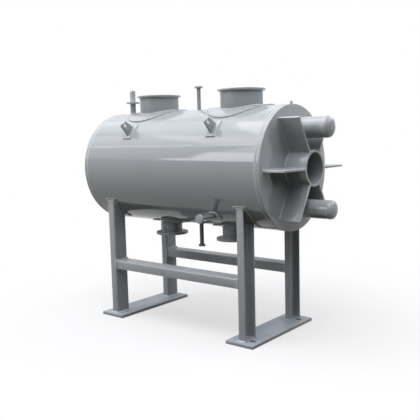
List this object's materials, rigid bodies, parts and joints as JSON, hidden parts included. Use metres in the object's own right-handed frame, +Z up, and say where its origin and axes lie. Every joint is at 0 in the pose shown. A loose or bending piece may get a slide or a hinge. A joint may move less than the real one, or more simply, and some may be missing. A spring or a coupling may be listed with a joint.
{
  "type": "plate-and-shell condenser",
  "caption": "Horizontal plate-and-shell condenser: flat-ended steel drum with a ribbed hub, capped stubs, vapour and condensate nozzles and lifting lugs, on a channel frame.",
  "frame": {"origin": "centre of the four anchor slots, on the floor", "axes": "+X along the vessel towards the ribbed hub, +Z up, -Y towards the front with the level connection"},
  "size_m": [2.6401, 1.188, 2.403],
  "materials": {
    "vessel_paint": "gloss light grey enamel",
    "nozzle_paint": "darker grey enamel",
    "frame_paint": "gloss light grey enamel",
    "pack_steel": "bare stainless plate edges"
  },
  "bodies": {
    "root": {"shell": "vessel_paint", "near_cover": "vessel_paint", "far_cover": "vessel_paint", "plate_pack": "pack_steel", "pack_end_plates": "pack_steel", "hub": "vessel_paint", "hub_ribs": "vessel_paint", "upper_stub": "vessel_paint", "upper_cap": "vessel_paint", "lower_stub": "vessel_paint", "lower_cap": "vessel_paint", "left_top_pad": "vessel_paint", "left_top_pipe": "nozzle_paint", "left_top_collar": "nozzle_paint", "right_top_pad": "vessel_paint", "right_top_pipe": "nozzle_paint", "right_top_collar": "nozzle_paint", "left_bottom_pad": "vessel_paint", "left_bottom_pipe": "nozzle_paint", "left_bottom_flange": "nozzle_paint", "right_bottom_pad": "vessel_paint", "right_bottom_pipe": "nozzle_paint", "right_bottom_flange": "nozzle_paint", "vent": "vessel_paint", "relief_pipe": "vessel_paint", "drain": "nozzle_paint", "level_pad": "vessel_paint", "level_connection": "vessel_paint", "vent_plug": "vessel_paint", "lifting_lugs": "vessel_paint", "lug_pads": "vessel_paint", "left_saddle_pads": "vessel_paint", "right_saddle_pads": "vessel_paint", "left_front_leg": "frame_paint", "right_front_leg": "frame_paint", "left_rear_leg": "frame_paint", "right_rear_leg": "frame_paint", "front_beam": "frame_paint", "rear_beam": "frame_paint", "left_base_plate": "frame_paint", "right_base_plate": "frame_paint"}
  },
  "joints": []
}
